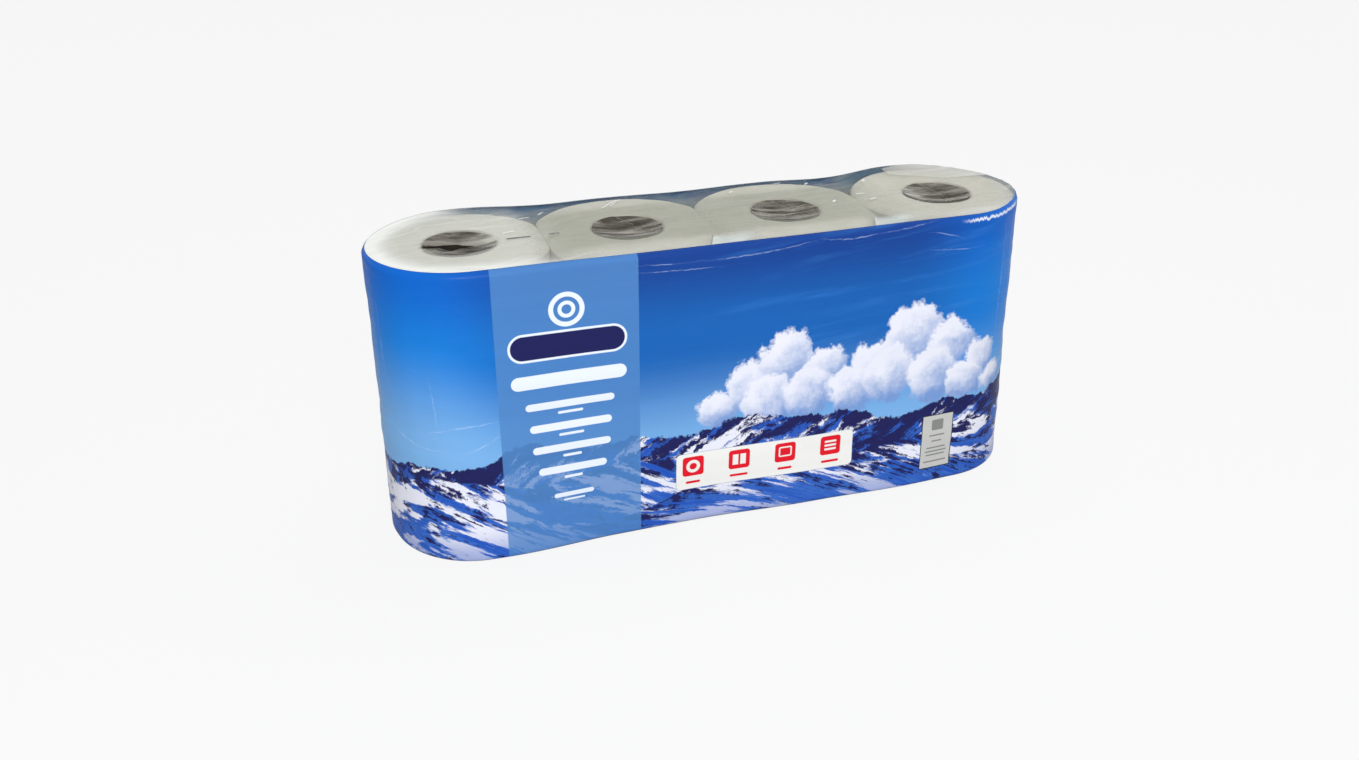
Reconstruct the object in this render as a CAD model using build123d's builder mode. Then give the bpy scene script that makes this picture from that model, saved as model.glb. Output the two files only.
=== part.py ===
"""Eight toilet paper rolls in one sealed film wrapper: two layers of four wound rolls, each on its own card core.

Frame: X runs along the row, Y from the front to the back and Z up. The origin is under the middle of the pack.
"""

from build123d import *
import math
import os

# Driving dimensions, in millimetres.
roll_diameter = 122.0  # a wound roll, free of the pack
roll_width = 97.0  # along the core
layers = 2
side_squeeze = (17.0, 15.0, 10.5)  # how far the wrapper presses each stack into the next
depth_squeeze = 10.0  # how far it presses each stack from the front to the back
core_y = (-3.25, -5.75, -5.75, -3.25)  # how far back the cores of each stack stand
wrap_y = (0.75, -0.75, -0.75, 0.75)  # how far back the middle of the wrapper lies at each stack
roll_rim = 3.0  # soft rounding round both ends of a roll
side_corner = 8.0  # rounding where the pressed sides of a roll meet its round ones
press_gap = 0.2  # between the flats of two pressed rolls
core_bore = 43.0
core_wall = 0.6
wind_gap = 0.05  # between a core and its first turn
film_thickness = 0.3
film_slack = 0.3  # between the film and the rolls that it goes round
front_waist = 0.8  # how far the film sinks in between two stacks
back_waist = 4.0

# The opening perforation in the top film, measured along X from the middle of the first stack.
perforation_y = -6.0
tear_start = -24.0
tear_widest = -6.0
tear_end = 7.0
tear_neck = 3.0  # how wide the torn cut gapes at its start
tear_gape = 8.0  # and at its widest
closed_cuts = ((29.0, 43.0), (55.0, 61.0))  # where each cut that is still closed starts and ends
cut_width = 1.0

# Worked out from the driving dimensions.
roll_radius = roll_diameter / 2
wrap_radius = (roll_diameter - depth_squeeze) / 2
core_radius = core_bore / 2 + core_wall
pitches = [roll_diameter - pressed for pressed in side_squeeze]
stack_x = [sum(pitches[:i]) - sum(pitches) / 2 for i in range(len(pitches) + 1)]
wraps = [Vector(x, y) for x, y in zip(stack_x, wrap_y)]
pack_height = layers * roll_width + 2 * film_thickness
perforation = Plane((stack_x[0], perforation_y, pack_height - film_thickness))


def heading(vector):
    """The direction of a flat vector, in degrees from +X."""
    return math.degrees(math.atan2(vector.Y, vector.X))


def hollow(wrap, following):
    """Centre and radius of the wide arc by which the wrapper sinks in between two stacks, going counter-clockwise.
    The arc bulges inwards and touches the arcs over both stacks."""
    along = following - wrap
    outward = Vector(along.Y, -along.X).normalized()
    waist = front_waist if along.X > 0 else back_waist
    reach = (waist**2 + (along.length / 2) ** 2) / (2 * waist)
    return (wrap + following) / 2 + outward * (reach - waist), reach - wrap_radius


def wrap_outline(grow):
    """A face inside the line that goes round all the stacks, grow outside the pressed rolls."""
    there_and_back = wraps + wraps[-2:0:-1]
    hollows = [hollow(a, b) for a, b in zip(there_and_back, there_and_back[1:] + there_and_back[:1])]
    with BuildSketch() as outline:
        with BuildLine():
            for i, wrap in enumerate(there_and_back):
                before, _ = hollows[i - 1]
                after, hollow_radius = hollows[i]
                following = there_and_back[(i + 1) % len(there_and_back)]
                arrive, leave = heading(before - wrap), heading(after - wrap)
                CenterArc(wrap, wrap_radius + grow, arrive, (leave - arrive) % 360)
                arrive, leave = heading(wrap - after), heading(following - after)
                CenterArc(after, hollow_radius - grow, arrive, -((arrive - leave) % 360))
        make_face()
    return outline.sketch


def wound_roll(stack):
    """One roll's turns as a single ring standing on Z = 0: round, but pressed by its neighbours and the wrapper."""
    x, y = stack_x[stack], core_y[stack]
    left = (pitches[stack - 1] - press_gap) / 2 if stack > 0 else roll_radius
    right = (pitches[stack] - press_gap) / 2 if stack < len(pitches) else roll_radius
    with BuildPart() as roll:
        with BuildSketch() as section:
            with Locations((x, y)):
                Circle(roll_radius)
            with Locations((x + (right - left) / 2, y)):
                Rectangle(left + right, roll_diameter, mode=Mode.INTERSECT)
            add(wrap_outline(0), mode=Mode.INTERSECT)
            fillet(section.vertices(), side_corner)
        extrude(amount=roll_width)
        fillet(roll.faces().filter_by(Axis.Z).edges(), roll_rim)
        with Locations((x, y, roll_width / 2)):
            Hole(core_radius + wind_gap)
    return roll.part


def card_core(stack):
    """A plain card tube, cut to the width of its roll, standing on Z = 0."""
    with BuildPart() as core:
        with Locations((stack_x[stack], core_y[stack], roll_width / 2)):
            Cylinder(core_radius, roll_width)
            Hole(core_bore / 2)
    return core.part


def film_block(grow, base, height):
    """The solid inside one face of the film, grow outside the pressed rolls, with its rims rounded like theirs."""
    with BuildPart() as block:
        add(wrap_outline(grow).moved(Location((0, 0, base))))
        extrude(amount=height)
        fillet(block.faces().filter_by(Axis.Z).edges(), roll_rim + grow - film_slack)
    return block.part


def film_wrapper():
    """The closed wrapper, a thin skin round all the rolls, with the perforation cut in its top."""
    outside = film_block(film_slack + film_thickness, 0, pack_height)
    inside = film_block(film_slack, film_thickness, pack_height - 2 * film_thickness)
    neck = tear_neck / 2
    gape = tear_gape / 2
    neck_end = (tear_start + tear_widest) / 2
    with BuildPart() as wrapper:
        add(outside)
        add(inside, mode=Mode.SUBTRACT)
        with BuildSketch(perforation):
            with BuildLine():
                back = Spline((tear_start, neck), (neck_end, neck), (tear_widest, gape), (tear_end, 0))
                front = Spline((tear_start, -neck), (neck_end, -neck), (tear_widest, -gape), (tear_end, 0))
                Line(back @ 0, front @ 0)
            make_face()
            for start, end in closed_cuts:
                with Locations(((start + end) / 2, 0)):
                    SlotOverall(end - start, cut_width)
        extrude(amount=film_thickness, mode=Mode.SUBTRACT)
    return wrapper.part


def write(part, name):
    """Labels a finished piece and writes its STEP file."""
    part.label = name
    export_step(part, f"parts/{name}.step")


os.makedirs("parts", exist_ok=True)
write(film_wrapper(), "film_wrapper")
for layer, floor in enumerate(("lower", "upper")):
    for stack in range(len(stack_x)):
        place = Location((0, 0, film_thickness + layer * roll_width))
        write(wound_roll(stack).moved(place), f"tissue_roll_{floor}_{stack + 1}")
        write(card_core(stack).moved(place), f"card_core_{floor}_{stack + 1}")
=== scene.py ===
"""Looks of a film-wrapped pack of toilet paper rolls: wound rolls on card cores in a printed wrapper with clear ends.

Laid out as an add-on and run as a script. Lengths are in metres, except in the print, which is laid out in
millimetres from the middle of the pack's front: x along the film and v up it.
"""

from functools import reduce
import math

import bmesh
import bpy
import numpy as np
from bpy.props import FloatProperty, FloatVectorProperty, PointerProperty
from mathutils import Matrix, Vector, noise


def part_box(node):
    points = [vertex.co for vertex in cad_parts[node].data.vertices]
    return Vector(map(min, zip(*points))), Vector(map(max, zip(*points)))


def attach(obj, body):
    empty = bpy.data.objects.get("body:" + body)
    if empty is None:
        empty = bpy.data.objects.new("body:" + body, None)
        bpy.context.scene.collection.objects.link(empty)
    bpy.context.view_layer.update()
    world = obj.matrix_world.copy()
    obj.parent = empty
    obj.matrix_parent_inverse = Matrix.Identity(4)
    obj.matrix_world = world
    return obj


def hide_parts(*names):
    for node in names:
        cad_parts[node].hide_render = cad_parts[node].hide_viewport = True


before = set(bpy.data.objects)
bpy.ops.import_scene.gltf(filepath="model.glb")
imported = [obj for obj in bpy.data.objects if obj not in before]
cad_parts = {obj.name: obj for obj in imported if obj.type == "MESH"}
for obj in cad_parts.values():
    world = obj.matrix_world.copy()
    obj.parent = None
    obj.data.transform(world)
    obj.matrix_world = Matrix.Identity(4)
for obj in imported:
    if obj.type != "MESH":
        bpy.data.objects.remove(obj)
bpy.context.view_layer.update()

bl_info = {
    "name": "Toilet Paper Roll Pack",
    "version": (1, 0, 0),
    "blender": (4, 5, 0),
    "location": "View3D > Sidebar > Roll Pack",
    "description": "Makes the wound rolls, card cores, printed film wrapper and stage of a toilet paper roll pack",
    "category": "Object",
}

BODY = "root"
LAYERS = ("lower", "upper")
STACKS = (1, 2, 3, 4)
MM = 0.001
FILM_CLEARANCE = 0.0007  # kept between the side of a roll and the middle of the film
WIND_GAP = 0.00005  # between a core and its first turn
FAR = 0.2  # further out than any side of a roll, where nothing presses it

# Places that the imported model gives.
wrap_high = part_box("film_wrapper")[1]
core_boxes = [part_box(f"card_core_upper_{stack}") for stack in STACKS]
core_middles = [(low + high) / 2 for low, high in core_boxes]
core_radius = (core_boxes[0][1].x - core_boxes[0][0].x) / 2
half_row = core_middles[-1].x
wrap_radius = wrap_high.x - half_row
lean = wrap_high.y - wrap_radius  # how far back the wrapper's middle lies at the end stacks, and forward between
groove_x = [(a.x + b.x) / 2 for a, b in zip(core_middles, core_middles[1:])]
perimeter = 4 * half_row + 2 * math.pi * wrap_radius


def srgb(red, green, blue):
    """A colour that is given in display values from 0 to 255, as linear values."""
    shares = [value / 255 for value in (red, green, blue)]
    return tuple(s / 12.92 if s <= 0.04045 else ((s + 0.055) / 1.055) ** 2.4 for s in shares)


# ---------------------------------------------------------------------------------------------- settings


def length_setting(name, description, default):
    """A size in metres."""
    return FloatProperty(name=name, description=description, default=default, unit="LENGTH")


def colour_setting(name, description, *display):
    """A colour, whose default is given in display values."""
    return FloatVectorProperty(name=name, description=description, default=srgb(*display), subtype="COLOR")


class RollSettings(bpy.types.PropertyGroup):
    """Sizes and colour of the wound rolls and their cores."""

    free_radius: length_setting("Free radius", "Radius of a roll outside the pack", 0.061)
    shoulder: length_setting("Shoulder", "How far a roll's end falls towards its rim", 0.0042)
    turn_gap: length_setting("Turn spacing", "Distance between the turns that stand out at a roll's end", 0.0019)
    turn_relief: length_setting("Turn relief", "How far those turns stand out", 0.00022)
    tissue: colour_setting("Tissue", "Colour of the tissue", 238, 237, 233)
    card_lead: length_setting("Card lead", "How far the card strip climbs in one turn of a core", 0.062)
    card_wall: length_setting("Card wall", "Thickness of a core's wall", 0.0006)
    card: colour_setting("Card", "Colour of the core's card", 86, 78, 68)


class FilmSettings(bpy.types.PropertyGroup):
    """Sizes and colours of the wrapper."""

    spacing: length_setting("Mesh spacing", "Distance between the film's vertices", 0.0022)
    thickness: length_setting("Thickness", "Thickness of the film", 0.00008)
    rim: length_setting("Rim", "Radius of the film's bend round the rims of the rolls", 0.0033)
    spine_reach: length_setting("Spine reach", "How far the line of the perforation goes past the end cores", 0.03)
    hole_sag: length_setting("Sag over a core", "How far the film sinks over a core's hole", 0.0024)
    clear: colour_setting("Clear film", "Tint of the clear film", 243, 243, 239)
    veil: colour_setting("Film veil", "Colour of the film's milky veil", 216, 216, 208)
    inside: colour_setting("Inside", "Colour of the inner side of the printed film", 44, 104, 164)


class PrintSettings(bpy.types.PropertyGroup):
    """Colours of the print."""

    deep_sky: colour_setting("Deep sky", "Sky at the top of the print", 28, 66, 144)
    azure: colour_setting("Azure", "Sky at the top of the pack's round ends", 16, 102, 202)
    haze: colour_setting("Haze", "Sky low over the snow", 122, 176, 228)
    snow: colour_setting("Snow", "Sunlit snow and cloud", 230, 232, 244)
    shade: colour_setting("Shade", "Snow in the shade", 38, 84, 182)
    rock: colour_setting("Rock", "Bare rock", 34, 36, 88)
    panel: colour_setting("Panel", "Pale upright panel", 80, 132, 194)
    accent: colour_setting("Accent", "Signs on the white strip", 222, 28, 44)
    paper: colour_setting("Label", "White strip and label", 236, 236, 232)


class StageSettings(bpy.types.PropertyGroup):
    """Camera and light."""

    camera_place: FloatVectorProperty(
        name="Camera", description="Where the camera stands", subtype="TRANSLATION", default=(-0.2645, -0.7365, 0.4553),
    )
    camera_turn: FloatProperty(
        name="Turn", description="How far it turns from +Y towards +X", subtype="ANGLE", default=math.radians(18.34),
    )
    camera_tilt: FloatProperty(
        name="Tilt", description="How far the camera looks down", subtype="ANGLE", default=math.radians(25.89),
    )
    lens: FloatProperty(name="Lens", description="Focal length in millimetres on a sensor 36 mm wide", default=33.71)
    key_power: FloatProperty(
        name="Key light", description="Power of the large light at the front left", default=17.0, unit="POWER",
    )
    top_power: FloatProperty(
        name="Top light", description="Power of the light over the pack", default=3.8, unit="POWER",
    )
    world_strength: FloatProperty(name="World", description="Strength of the light from all round", default=0.52)


class PackSettings(bpy.types.PropertyGroup):
    """All settings of the pack."""

    rolls: PointerProperty(type=RollSettings)
    film: PointerProperty(type=FilmSettings)
    artwork: PointerProperty(type=PrintSettings)
    stage: PointerProperty(type=StageSettings)


# ---------------------------------------------------------------------------------------------- node maths


class Term:
    """An output socket of a node tree. Arithmetic on terms and numbers adds the Math nodes that work it out."""

    def __init__(self, graph, socket):
        self.graph = graph
        self.socket = socket

    def math(self, operation, *others):
        return self.graph.math(operation, self, *others)

    def __add__(self, other):
        return self.graph.math("ADD", self, other)

    def __radd__(self, other):
        return self.graph.math("ADD", other, self)

    def __sub__(self, other):
        return self.graph.math("SUBTRACT", self, other)

    def __rsub__(self, other):
        return self.graph.math("SUBTRACT", other, self)

    def __mul__(self, other):
        return self.graph.math("MULTIPLY", self, other)

    def __rmul__(self, other):
        return self.graph.math("MULTIPLY", other, self)

    def __truediv__(self, other):
        return self.graph.math("DIVIDE", self, other)

    def __rtruediv__(self, other):
        return self.graph.math("DIVIDE", other, self)

    def __neg__(self):
        return self.graph.math("MULTIPLY", self, -1.0)

    def __abs__(self):
        return self.graph.math("ABSOLUTE", self)


class Graph:
    """Adds nodes to a shader or geometry tree."""

    def __init__(self, tree):
        self.tree = tree

    def node(self, kind, settings=None, inputs=None):
        """A new node: its settings are set first, then the values or links of its sockets."""
        node = self.tree.nodes.new(kind)
        for name, value in (settings or {}).items():
            if name == "stops":
                elements = node.color_ramp.elements
                while len(elements) < len(value):
                    elements.new(1.0)
                for element, (position, colour) in zip(elements, value):
                    element.position = position
                    element.color = (*colour, 1.0)
            else:
                setattr(node, name, value)
        for key, value in (inputs or {}).items():
            if isinstance(value, Term):
                self.tree.links.new(value.socket, node.inputs[key])
            elif node.inputs[key].type == "RGBA" and len(value) == 3:
                node.inputs[key].default_value = (*value, 1.0)
            else:
                node.inputs[key].default_value = value
        return node

    def add(self, kind, settings=None, inputs=None, output=0):
        return Term(self, self.node(kind, settings, inputs).outputs[output])

    def math(self, operation, *values, clamp=False):
        return self.add("ShaderNodeMath", {"operation": operation, "use_clamp": clamp}, dict(enumerate(values)))

    def vector(self, x, y, z):
        return self.add("ShaderNodeCombineXYZ", None, {"X": x, "Y": y, "Z": z})

    def split(self, vector):
        parts = self.node("ShaderNodeSeparateXYZ", None, {"Vector": vector})
        return [Term(self, output) for output in parts.outputs]

    def blend(self, factor, a, b):
        """Colour a where factor is 0 and colour b where it is 1."""
        return self.add("ShaderNodeMix", {"data_type": "RGBA"}, {0: factor, 6: a, 7: b}, output=2)

    def noise(self, vector, scale=1.0, detail=3.0, roughness=0.55):
        inputs = {"Vector": vector, "Scale": scale, "Detail": detail, "Roughness": roughness}
        return self.add("ShaderNodeTexNoise", {"noise_dimensions": "3D"}, inputs)

    def inside(self, distance, soft=0.35):
        """1 where a distance is below 0, 0 where it is above, with an edge as wide as soft."""
        return self.math("MULTIPLY_ADD", distance, -1.0 / soft, 0.5, clamp=True)

    def between(self, value, low, high):
        """0 up to low, 1 from high, and a smooth rise between them."""
        inputs = {"Value": value, "From Min": low, "From Max": high}
        return self.add("ShaderNodeMapRange", {"interpolation_type": "SMOOTHSTEP"}, inputs)


def highest(terms):
    """The highest of several terms at each place."""
    return reduce(lambda a, b: a.math("MAXIMUM", b), terms)


def lowest(terms):
    """The lowest of several terms at each place."""
    return reduce(lambda a, b: a.math("MINIMUM", b), terms)


def new_material(name):
    """An empty material, its graph and its surface socket."""
    material = bpy.data.materials.new(name)
    material.use_nodes = True
    material.node_tree.nodes.clear()
    graph = Graph(material.node_tree)
    surface = graph.node("ShaderNodeOutputMaterial").inputs["Surface"]
    return material, graph, surface


def principled(graph, surface, inputs):
    shader = graph.add("ShaderNodeBsdfPrincipled", None, inputs)
    if surface:
        graph.tree.links.new(shader.socket, surface)
    return shader


# The cuts of the opening perforation, each (start, end, half the gape), from the first core's middle.
CUTS = ((-0.024, 0.007, 0.0060), (0.029, 0.043, 0.0004), (0.055, 0.061, 0.0006))
CUT_SHAPE = ((0.0, 0.0), (0.02, 0.32), (0.35, 0.4), (0.47, 0.72), (0.58, 1.0), (0.7, 0.8), (1.0, 0.0))
PERFORATION_Y = -0.006


# ---------------------------------------------------------------------------------------------- print


def box_distance(x, v, middle, size, corner):
    """Distance in millimetres to the edge of a rounded box, below 0 inside it."""
    across = (abs(x - middle[0]) - (size[0] / 2 - corner)).math("MAXIMUM", 0.0)
    up = (abs(v - middle[1]) - (size[1] / 2 - corner)).math("MAXIMUM", 0.0)
    return (across * across + up * up).math("SQRT") - corner


def disc_distance(x, v, middle, radius):
    """Distance to the edge of a disc, below 0 inside it."""
    across = x - middle[0]
    up = v - middle[1]
    return (across * across + up * up).math("SQRT") - radius


def ridge(x, base, waves):
    """Height of a skyline that repeats once for each side of the pack: waves are (count, height, shift)."""
    height = base
    for count, rise, shift in waves:
        turn = 2 * math.pi * count / (perimeter / 2 / MM)
        height = height + (x * turn + shift).math("SINE") * rise
    return height


def paint_sky(graph, look, x, v):
    """Deep blue that pales towards the snow, and more azure round the ends of the pack."""
    low = graph.between(v - graph.between(x, -125.0, -195.0) * 24.0, 130.0, 52.0)
    azure = graph.between(abs(x), 110.0, 205.0)
    top = graph.blend(azure, look.deep_sky, look.azure)
    middle = graph.blend(azure, srgb(28, 98, 178), srgb(26, 126, 216))
    upper = graph.blend(graph.between(v, 192.0, 140.0), top, middle)
    # Painted sheen: lighter blue streaks across the middle of the front, standing in for hazy reflections on the film.
    streak_noise = graph.noise(graph.vector(x * 0.011 + v * 0.004, v * 0.11 - x * 0.012, 1.0), 1.0, 4.0, 0.6)
    painted_sheen_streaks = graph.between(streak_noise, 0.5, 0.75) * graph.between(x, -60.0, 60.0) * 0.35
    upper = graph.blend(painted_sheen_streaks, upper, srgb(64, 134, 214))
    return graph.blend(low, upper, look.haze)


# Each puff of the cloud bank is (x, v, radius), from the back one to the front one.
CLOUD = (
    (10, 96, 17), (33, 112, 19), (60, 103, 16), (124, 116, 22), (151, 106, 18), (176, 92, 14), (96, 98, 18),
    (-12, 82, 13), (22, 84, 19), (50, 86, 18), (80, 84, 17), (108, 90, 20), (139, 86, 20), (166, 78, 15), (190, 74, 11),
)


def paint_clouds(graph, look, place, x, v, colour):
    """A bank of round clouds, bright where the sun falls on each puff from the upper left."""
    ragged = (graph.noise(place, 75.0, 6.0, 0.68) - 0.5) * 26.0
    for cx, cv, radius in CLOUD:
        distance = disc_distance(x, v, (cx, cv), radius) + ragged
        light = (v - cv) * (0.55 / radius) - (x - cx) * (0.3 / radius) + ragged * 0.05
        lit = graph.blend(graph.between(light, -0.55, 0.42), srgb(118, 152, 208), look.snow)
        colour = graph.blend(graph.inside(distance, 3.2), colour, lit)
    return colour


def paint_snowfields(graph, look, place, x, v, colour):
    """Three ranges of snow hills, one in front of the other, with sunny and shaded slopes and bare rock."""
    fine = graph.noise(place, 90.0, 6.0, 0.7) - 0.5
    parts = graph.split(place)
    ranges = (
        (ridge(x, 68.0, ((1, 5.0, 2.6), (3, 4.0, 0.4), (7, 2.6, 1.0))), 16.0, 1.5, 3.0, 0.035),
        (ridge(x, 50.0, ((1, 10.0, 3.9), (2, 6.0, 2.0), (5, 2.4, 0.3))), 9.0, -1.9, 7.0, 0.0),
        (ridge(x, 26.0, ((2, 10.0, 0.6), (3, 4.0, 2.2))), 5.0, -2.6, 11.0, -0.02),
    )
    for height, jagged, slant, seed, bare in ranges:
        depth = height + fine * jagged - v
        bent = depth + (x * 0.031 + seed).math("SINE") * 3.0
        lean_x = parts[0] * 1000.0 + bent * slant
        slope = graph.noise(graph.vector(lean_x * 0.034, parts[1] * 34.0 + seed, bent * 0.03), 1.0, 5.0, 0.58)
        rills = graph.noise(graph.vector(lean_x * 0.13, parts[1] * 130.0 + seed, bent * 0.045), 1.0, 6.0, 0.7)
        shade = graph.blend(graph.between(rills, 0.34, 0.7), look.shade, srgb(72, 122, 206))
        sunny = graph.between(slope + (rills - 0.5) * 0.3, 0.485, 0.535)
        sunny = sunny * (1.0 - graph.between(v, 26.0, 4.0) * 0.55)
        ground = graph.blend(sunny, shade, look.snow)
        crest = graph.between(depth, 20.0, 2.0) * 0.06
        rocky = graph.between(rills * 0.6 + fine * 0.35 + 0.2 + crest + bare - (slope - 0.5) * 0.3, 0.535, 0.575)
        ground = graph.blend(rocky, ground, look.rock)
        colour = graph.blend(graph.inside(-depth, 0.8), colour, ground)
    return colour


# The pale panel: its middle and width, its rings (radius, half the line) and its bars (height, width, thickness).
PANEL_X = -109.5
PANEL_WIDTH = 88.6
PANEL_RINGS = ((9.5, 1.5), (4.2, 1.2))
PANEL_BARS = (
    (120.5, 72, 9.0), (103.5, 56, 5.0), (97.5, 16, 1.8), (88.5, 52, 5.0), (82.5, 16, 1.8), (73.5, 50, 5.0),
    (67.5, 12, 1.8), (58.5, 44, 5.0), (52.5, 12, 1.8), (40.0, 26, 3.2), (36.0, 14, 1.2),
)


def paint_panel(graph, look, x, v, colour):
    """A pale upright panel with two rings, a dark plate and white bars, all plain."""
    edge = abs(x - PANEL_X) - PANEL_WIDTH / 2
    colour = graph.blend(graph.inside(edge, 0.5) * 0.84, colour, look.panel)
    plate = box_distance(x, v, (PANEL_X, 143.0), (72.0, 17.0), 8.4)
    colour = graph.blend(graph.inside(plate), colour, look.rock)
    marks = [abs(plate) - 0.75]
    for radius, half_line in PANEL_RINGS:
        marks.append(abs(disc_distance(x, v, (PANEL_X, 165.0), radius)) - half_line)
    for height, width, thick in PANEL_BARS:
        marks.append(box_distance(x, v, (PANEL_X, height), (width, thick), thick / 2))
    return graph.blend(graph.inside(lowest(marks)), colour, srgb(228, 236, 248))


# The middles of the four signs along the white strip, and their height.
SIGN_X = (-29.5, 2.3, 34.5, 67.0)
SIGN_V = 43.6


def paint_strip(graph, look, x, v, colour):
    """A white strip with four red signs, each over a short red bar."""
    strip = box_distance(x, v, (21.0, 40.0), (124.0, 26.5), 3.0)
    colour = graph.blend(graph.inside(strip - 0.25), colour, srgb(120, 140, 180))
    colour = graph.blend(graph.inside(strip), colour, look.paper)
    signs = []
    for number, middle in enumerate(SIGN_X):
        signs.append(box_distance(x, v, (middle, SIGN_V), (14.6, 14.2), 2.2))
        signs.append(box_distance(x, v, (middle, 31.6), (10.0 + number % 2 * 2.5, 1.9), 0.9))
    ring, pair, frame_line, rungs = SIGN_X
    rung = abs((v - SIGN_V).math("WRAP", -1.5, 1.5)) - 0.8
    marks = (
        abs(disc_distance(x, v, (ring, SIGN_V), 3.6)) - 1.1,
        abs(abs(x - pair) - 2.6).math("MAXIMUM", abs(v - SIGN_V) - 2.0) - 1.9,
        abs(box_distance(x, v, (frame_line, 44.2), (8.2, 6.6), 0.8)) - 0.5,
        rung.math("MAXIMUM", box_distance(x, v, (rungs, SIGN_V), (8.4, 7.4), 0.6)),
    )
    colour = graph.blend(graph.inside(lowest(signs)), colour, look.accent)
    within = graph.inside(lowest(marks).math("MAXIMUM", strip)) * graph.inside(abs(v - SIGN_V) - 6.0)
    return graph.blend(within, colour, look.paper)


def paint_label(graph, look, x, v, colour):
    """A small white label with a dark edge, a plain grey square and thin grey rules."""
    middle = 147.3
    edge = box_distance(x, v, (middle, 33.3), (24.6, 41.6), 0.8)
    colour = graph.blend(graph.inside(edge), colour, srgb(52, 56, 60))
    colour = graph.blend(graph.inside(edge + 0.75), colour, look.paper)
    marks = [box_distance(x, v, (middle, 46.0), (9.0, 8.0), 1.0)]
    for height, width in ((38.0, 12.0), (33.6, 8.0), (28.4, 15.0), (25.6, 17.0), (22.8, 15.0), (17.6, 18.0)):
        marks.append(box_distance(x, v, (middle, height), (width, 1.1), 0.5))
    return graph.blend(graph.inside(lowest(marks)) * 0.7, colour, srgb(92, 98, 96))


# Sharp creases in the film with painted highlights, each (start x, start v, end x, end v, how far it bows down,
# half width), in millimetres.
CREASES = (
    (-70, 188, -24, 186, 1.0, 0.20), (-32, 186, 58, 192, 2.8, 0.32), (-72, 183, -8, 181, 0.6, 0.20),
    (50, 191.5, 98, 191, 2.6, 0.34), (86, 190, 136, 194, 1.0, 0.26), (126, 187, 156, 179, -1.0, 0.24),
    (128, 175, 172, 173, 1.4, 0.20), (-236, 96, -186, 80, 5.0, 0.42),
    (-206, 88, -150, 97, -3.0, 0.40), (-180, 78, -148, 93, 3.0, 0.34),
)
# The same for creases that run up the film, each (start v, start x, end v, end x, how far it bows to the right,
# half width).
UPRIGHT_CREASES = (
    (110, -226, 176, -230, 2.0, 0.30), (84, -192, 132, -195, -2.0, 0.26), (96, 192, 190, 196, 2.0, 0.40),
    (20, -214, 60, -222, 2.0, 0.30), (30, 206, 92, 203, -1.5, 0.26), (140, 206, 186, 208, 1.0, 0.30),
)


def crease_lines(graph, along_film, across, creases):
    """How strongly each place is creased, by lines that run mostly in one direction."""
    lines = []
    for start, start_across, end, end_across, bow, half_width in creases:
        along = graph.math("MULTIPLY_ADD", along_film, 1 / (end - start), -start / (end - start), clamp=True)
        arch = along * (1.0 - along) * 4.0
        waver = (graph.noise(graph.vector(along_film * 0.13, start * 1.0, 0.0), 1.0, 3.0, 0.6) - 0.5) * 3.0
        middle = along * (end_across - start_across) + start_across - arch * bow + waver
        lines.append(graph.inside(abs(across - middle) - arch * half_width, 0.6) * arch)
    return highest(lines)


def paint_creases(graph, x, v, colour):
    """Painted highlights in broken lines along the film's creases, and a painted jagged glint along the gathered edge
    at one end.
    """
    lines = crease_lines(graph, x, v, CREASES).math("MAXIMUM", crease_lines(graph, v, x, UPRIGHT_CREASES) * 0.7)
    broken = graph.between(graph.noise(graph.vector(x * 0.09, v * 0.3, 0.0), 1.0, 3.0, 0.7), 0.4, 0.6)
    # Painted highlights along the creases.
    colour = graph.blend(lines * (broken * 0.42 + 0.1), colour, srgb(196, 216, 244))
    # Painted glint along the gathered edge.
    jagged = (graph.noise(graph.vector(x * 0.3, 2.0, 0.0), 1.0, 4.0, 0.8) - 0.5) * 9.0
    gathered = graph.inside(abs(v - 191.0 - jagged) - 0.8, 1.0)
    gathered = gathered * graph.between(x, 150.0, 164.0) * graph.between(x, 226.0, 206.0)
    return graph.blend(gathered * 0.85, colour, srgb(244, 248, 252))


def printed_film():
    """Glossy film printed with a winter sky over low snow hills."""
    look = bpy.context.scene.roll_pack.artwork
    material, graph, surface = new_material("printed film")
    flat = graph.split(graph.add("ShaderNodeUVMap", {"uv_map": "around"}))
    side = perimeter / 4 / MM
    x = (flat[0] / MM).math("WRAP", -side, side)
    v = flat[1] / MM
    place = graph.add("ShaderNodeTexCoord", output="Object")
    colour = paint_sky(graph, look, x, v)
    colour = paint_clouds(graph, look, place, x, v, colour)
    colour = paint_snowfields(graph, look, place, x, v, colour)
    colour = paint_panel(graph, look, x, v, colour)
    colour = paint_strip(graph, look, x, v, colour)
    colour = paint_label(graph, look, x, v, colour)
    colour = paint_creases(graph, x, v, colour)
    parts = graph.split(place)
    streak_noise = graph.noise(graph.vector(parts[0] * 14.0, parts[1] * 14.0, parts[2] * 210.0), 1.0, 4.0)
    quilt = graph.noise(place, 420.0, 2.0)
    relief = streak_noise * 0.8 + quilt * 0.25
    bump = graph.add("ShaderNodeBump", None, {"Strength": 0.16, "Distance": 0.0006, "Height": relief})
    rough = graph.between(streak_noise, 0.2, 0.8) * 0.12 + 0.22
    gloss = {"Specular IOR Level": 0.06, "Coat Weight": 0.02, "Coat Roughness": 0.1}
    principled(graph, surface, {"Base Color": colour, "Roughness": rough, "Normal": bump, **gloss})
    return material


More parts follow.
